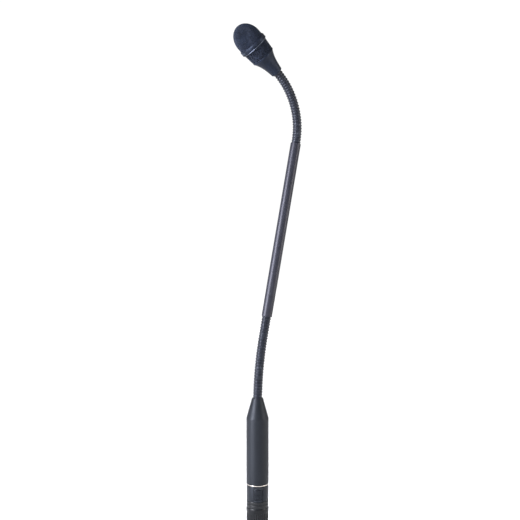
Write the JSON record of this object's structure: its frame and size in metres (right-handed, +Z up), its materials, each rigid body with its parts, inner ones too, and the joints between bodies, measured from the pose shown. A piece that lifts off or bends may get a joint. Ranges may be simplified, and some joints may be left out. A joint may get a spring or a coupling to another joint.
{
  "type": "gooseneck podium microphone",
  "caption": "Slim podium microphone: a domed condenser head on two flexible necks and a tube, over a preamplifier barrel with its cable connector plugged in.",
  "frame": {"origin": "centre of the cable entry in the connector boot, on the axis of the barrel", "axes": "+Z up along the barrel; the neck bends in the YZ plane and the head leans towards -Y"},
  "size_m": [0.027, 0.0702, 0.4643],
  "materials": {
    "barrel_enamel": "satin charcoal powder coat on turned aluminium",
    "tube_enamel": "satin charcoal coat on drawn tube",
    "flex_steel": "black oxide on wound steel wire",
    "head_enamel": "satin charcoal coat",
    "grille_mesh": "coated woven steel wire",
    "foam": "open-cell foam",
    "vent_plastic": "moulded",
    "nickel": "satin nickel plate",
    "contact_gold": "plated contact",
    "insert_plastic": "moulded",
    "connector_enamel": "black coat on die-cast zinc",
    "ring_plastic": "moulded",
    "boot_rubber": "moulded with grip flutes",
    "spring_steel": "plain",
    "brass": "turned",
    "board": "solder resist on glass-fibre laminate",
    "chip_plastic": "moulded epoxy",
    "can_metal": "drawn can",
    "holder_rubber": "moulded",
    "cable_jacket": "extruded",
    "lead_jacket": "extruded"
  },
  "bodies": {
    "barrel": {"barrel_shell": "barrel_enamel", "plug_shell": "nickel", "plug_insert": "insert_plastic", "contact_pin_1": "contact_gold", "contact_pin_2": "contact_gold", "contact_pin_3": "contact_gold", "lock_screw": "spring_steel", "preamp_board": "board", "capacitors": "can_metal", "amplifier_chips": "chip_plastic", "board_carrier": "insert_plastic", "neck_clamp": "brass", "neck_set_screw": "spring_steel", "lower_foot_coil": "flex_steel", "signal_cable": "cable_jacket"},
    "connector": {"connector_housing": "connector_enamel", "socket_insert": "insert_plastic", "socket_contact_1": "contact_gold", "socket_contact_2": "contact_gold", "socket_contact_3": "contact_gold", "coding_ring": "ring_plastic", "bushing_nut": "ring_plastic", "cable_chuck": "insert_plastic", "boot": "boot_rubber", "latch_spring": "spring_steel"},
    "latch": {"latch_tab": "connector_enamel"},
    "lower_link_1": {"lower_link_1": "flex_steel"},
    "lower_link_2": {"lower_link_2": "flex_steel"},
    "lower_link_3": {"lower_link_3": "flex_steel"},
    "lower_link_4": {"lower_link_4": "flex_steel"},
    "lower_link_5": {"lower_link_5": "flex_steel"},
    "lower_link_6": {"lower_link_6": "flex_steel"},
    "lower_link_7": {"lower_link_7": "flex_steel"},
    "tube": {"centre_tube": "tube_enamel", "lower_stop": "brass", "upper_stop": "brass", "lower_end_coil": "flex_steel", "upper_foot_coil": "flex_steel"},
    "upper_link_1": {"upper_link_1": "flex_steel"},
    "upper_link_2": {"upper_link_2": "flex_steel"},
    "upper_link_3": {"upper_link_3": "flex_steel"},
    "upper_link_4": {"upper_link_4": "flex_steel"},
    "upper_link_5": {"upper_link_5": "flex_steel"},
    "upper_link_6": {"upper_link_6": "flex_steel"},
    "upper_link_7": {"upper_link_7": "flex_steel"},
    "head": {"head_shell": "head_enamel", "head_bush": "brass", "head_screw": "spring_steel", "vent_frame": "vent_plastic", "vent_mesh": "grille_mesh", "grille_collar": "head_enamel", "grille_dome": "grille_mesh", "grille_foam": "foam", "capsule": "can_metal", "capsule_holder": "holder_rubber", "capsule_leads": "lead_jacket", "upper_end_coil": "flex_steel"}
  },
  "joints": [
    {"name": "unplug", "type": "slide", "parent": "barrel", "child": "connector", "axis": [0, 0, -1], "range_m": [0, 0.02]},
    {"name": "latch_press", "type": "slide", "parent": "connector", "child": "latch", "axis": [-0.9063, 0.4226, 0], "range_m": [0, 0.001], "stiffness_N_per_m": 800, "springref_m": -0.0005, "deforming": ["latch_spring"]},
    {"name": "lower_pitch_1", "type": "hinge", "parent": "barrel", "child": "lower_link_1", "pos_m": [0, 0.00021, 0.13411], "axis": [1, 0, 0], "range_deg": [-15, 20], "deforming": ["signal_cable"]},
    {"name": "lower_side_1", "type": "hinge", "parent": "lower_link_1", "child": "lower_link_2", "pos_m": [0, 0.00067, 0.1433], "axis": [0, 0.9979, -0.0648], "range_deg": [-15, 15]},
    {"name": "lower_pitch_2", "type": "hinge", "parent": "lower_link_2", "child": "lower_link_3", "pos_m": [0, 0.0014, 0.15247], "axis": [1, 0, 0], "range_deg": [-15, 20]},
    {"name": "lower_side_2", "type": "hinge", "parent": "lower_link_3", "child": "lower_link_4", "pos_m": [0, 0.00239, 0.16161], "axis": [0, 0.9925, -0.1222], "range_deg": [-15, 15]},
    {"name": "lower_pitch_3", "type": "hinge", "parent": "lower_link_4", "child": "lower_link_5", "pos_m": [0, 0.00365, 0.17073], "axis": [1, 0, 0], "range_deg": [-15, 20]},
    {"name": "lower_side_3", "type": "hinge", "parent": "lower_link_5", "child": "lower_link_6", "pos_m": [0, 0.00517, 0.1798], "axis": [0, 0.9838, -0.1792], "range_deg": [-15, 15]},
    {"name": "lower_pitch_4", "type": "hinge", "parent": "lower_link_6", "child": "lower_link_7", "pos_m": [0, 0.00691, 0.18883], "axis": [1, 0, 0], "range_deg": [-15, 20]},
    {"name": "lower_side_4", "type": "hinge", "parent": "lower_link_7", "child": "tube", "pos_m": [0, 0.00869, 0.19786], "axis": [0, 0.9812, -0.193], "range_deg": [-15, 15]},
    {"name": "upper_pitch_1", "type": "hinge", "parent": "tube", "child": "upper_link_1", "pos_m": [0, 0.04169, 0.36563], "axis": [1, 0, 0], "range_deg": [-22, 10]},
    {"name": "upper_side_1", "type": "hinge", "parent": "upper_link_1", "child": "upper_link_2", "pos_m": [0, 0.04268, 0.37433], "axis": [0, 0.9991, -0.0436], "range_deg": [-12, 12]},
    {"name": "upper_pitch_2", "type": "hinge", "parent": "upper_link_2", "child": "upper_link_3", "pos_m": [0, 0.04245, 0.38309], "axis": [1, 0, 0], "range_deg": [-22, 10]},
    {"name": "upper_side_2", "type": "hinge", "parent": "upper_link_3", "child": "upper_link_4", "pos_m": [0, 0.04101, 0.39173], "axis": [0, 0.9725, 0.233], "range_deg": [-12, 12]},
    {"name": "upper_pitch_3", "type": "hinge", "parent": "upper_link_4", "child": "upper_link_5", "pos_m": [0, 0.03838, 0.40008], "axis": [1, 0, 0], "range_deg": [-22, 10]},
    {"name": "upper_side_3", "type": "hinge", "parent": "upper_link_5", "child": "upper_link_6", "pos_m": [0, 0.03461, 0.40799], "axis": [0, 0.8709, 0.4915], "range_deg": [-12, 12]},
    {"name": "upper_pitch_4", "type": "hinge", "parent": "upper_link_6", "child": "upper_link_7", "pos_m": [0, 0.02979, 0.4153], "axis": [1, 0, 0], "range_deg": [-22, 10]},
    {"name": "upper_side_4", "type": "hinge", "parent": "upper_link_7", "child": "head", "pos_m": [0, 0.02399, 0.42187], "axis": [0, 0.7021, 0.7121], "range_deg": [-12, 12]}
  ],
  "couplings": [
    {"joint": "lower_pitch_2", "follows": "lower_pitch_1", "ratio": 1},
    {"joint": "lower_side_2", "follows": "lower_side_1", "ratio": 1},
    {"joint": "lower_pitch_3", "follows": "lower_pitch_1", "ratio": 1},
    {"joint": "lower_side_3", "follows": "lower_side_1", "ratio": 1},
    {"joint": "lower_pitch_4", "follows": "lower_pitch_1", "ratio": 1},
    {"joint": "lower_side_4", "follows": "lower_side_1", "ratio": 1},
    {"joint": "upper_pitch_2", "follows": "upper_pitch_1", "ratio": 1},
    {"joint": "upper_side_2", "follows": "upper_side_1", "ratio": 1},
    {"joint": "upper_pitch_3", "follows": "upper_pitch_1", "ratio": 1},
    {"joint": "upper_side_3", "follows": "upper_side_1", "ratio": 1},
    {"joint": "upper_pitch_4", "follows": "upper_pitch_1", "ratio": 1},
    {"joint": "upper_side_4", "follows": "upper_side_1", "ratio": 1}
  ]
}
